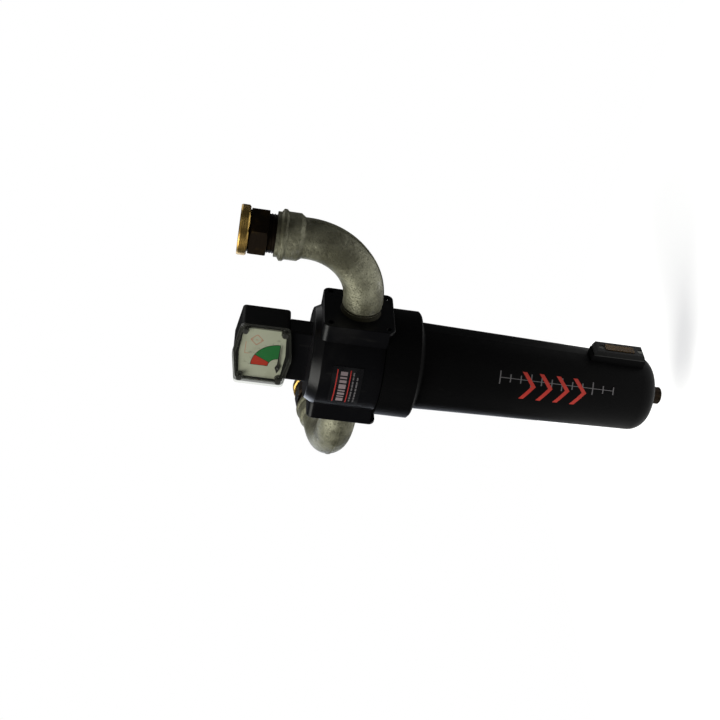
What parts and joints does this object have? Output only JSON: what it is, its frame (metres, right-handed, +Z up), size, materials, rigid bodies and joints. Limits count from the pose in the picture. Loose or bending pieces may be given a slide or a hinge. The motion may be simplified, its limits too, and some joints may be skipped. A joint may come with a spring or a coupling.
{
  "type": "compressed air filter",
  "caption": "Inline compressed air filter: cast head with two screwed elbows, long screwed bowl with float drain and level glass, and a differential-pressure gauge on top.",
  "frame": {"origin": "where the axis of the two ports meets the axis of the bowl, inside the head", "axes": "+Z up along the bowl axis towards the gauge, +X along the port with the upturned elbow, -Y towards the dial and label"},
  "size_m": [0.2895, 0.1658, 0.409],
  "materials": {
    "black_casting": "gloss black enamel over cast aluminium",
    "black_bowl": "satin black enamel over cast aluminium",
    "label_foil": null,
    "galvanised": "hot-dip galvanised malleable iron, dull grey-olive",
    "dark_brass": "dark oxidised brass",
    "bright_brass": "bright turned brass",
    "white_tape": "dirty yellowish thread tape",
    "black_rubber": "matt",
    "amber": "clear amber moulding",
    "black_plastic": "moulded, fine texture",
    "zinc_steel": "zinc plated",
    "stainless": "perforated sheet",
    "media": "pleated glass-fibre",
    "foam": "open-cell foam",
    "clear_plastic": "clear moulded window",
    "dial_print": "printed dial, green and red sector",
    "needle_black": "matt black",
    "white_plastic": "moulded float",
    "magnet": "nickel-plated magnet"
  },
  "bodies": {
    "filter_head": {"head_casting": "black_casting", "head_label": "label_foil", "elbow_a": "galvanised", "elbow_b": "galvanised", "adaptor_a": "dark_brass", "adaptor_b": "dark_brass", "collar_a": "bright_brass", "collar_b": "bright_brass", "thread_tape_a": "white_tape", "thread_tape_b": "white_tape", "element_top_cap": "black_plastic", "element_o_ring": "black_rubber", "element_bottom_cap": "black_plastic", "element_core_tube": "stainless", "element_media": "media", "element_outer_tube": "stainless", "element_foam_sock": "foam", "gauge_neck": "black_casting", "gauge_case": "black_plastic", "gauge_cover": "clear_plastic", "gauge_cover_screws": "zinc_steel", "gauge_dial": "dial_print", "dp_spring": "stainless", "gauge_neck_screws": "zinc_steel", "gauge_duct_seals": "black_rubber"},
    "seal_ring": {"bowl_o_ring": "black_rubber"},
    "filter_bowl": {"bowl": "black_bowl", "level_glass_frame": "black_plastic", "level_glass_screws": "zinc_steel", "level_glass": "amber", "level_glass_gasket": "black_rubber", "drain_body": "bright_brass", "drain_o_ring": "black_rubber"},
    "float": {"drain_float": "white_plastic"},
    "valve_stem": {"drain_stem": "stainless"},
    "outlet_knob": {"drain_knob": "dark_brass"},
    "pressure_piston": {"dp_piston": "bright_brass", "dp_magnet": "magnet"},
    "needle": {"gauge_needle": "needle_black", "gauge_spindle": "stainless"}
  },
  "joints": [
    {"name": "bowl_drop", "type": "slide", "parent": "filter_head", "child": "seal_ring", "axis": [0, 0, -1], "range_m": [0, 0.0175]},
    {"name": "bowl_turn", "type": "hinge", "parent": "seal_ring", "child": "filter_bowl", "pos_m": [0, 0, -0.05], "axis": [0, 0, -1], "range_deg": [0, 1800]},
    {"name": "float_rise", "type": "slide", "parent": "filter_bowl", "child": "float", "axis": [0, 0, 1], "range_m": [0, 0.006]},
    {"name": "knob_turn", "type": "hinge", "parent": "filter_bowl", "child": "outlet_knob", "pos_m": [0, 0, -0.29], "axis": [0, 0, -1], "range_deg": [0, 180]},
    {"name": "stem_lift", "type": "slide", "parent": "filter_bowl", "child": "valve_stem", "axis": [0, 0, 1], "range_m": [0, 0.0015]},
    {"name": "piston_shift", "type": "slide", "parent": "filter_head", "child": "pressure_piston", "axis": [1, 0, 0], "range_m": [0, 0.005], "stiffness_N_per_m": 150, "springref_m": -0.001, "deforming": ["dp_spring"]},
    {"name": "needle_swing", "type": "hinge", "parent": "filter_head", "child": "needle", "pos_m": [-0.0134, -0.0127, 0.065], "axis": [0, -1, 0], "range_deg": [0, 90]}
  ],
  "couplings": [
    {"joint": "bowl_drop", "follows": "bowl_turn", "m_per_rad": 0.00055704},
    {"joint": "needle_swing", "follows": "piston_shift", "rad_per_m": 314.16},
    {"joint": "stem_lift", "follows": "knob_turn", "m_per_rad": 0.00047746}
  ]
}
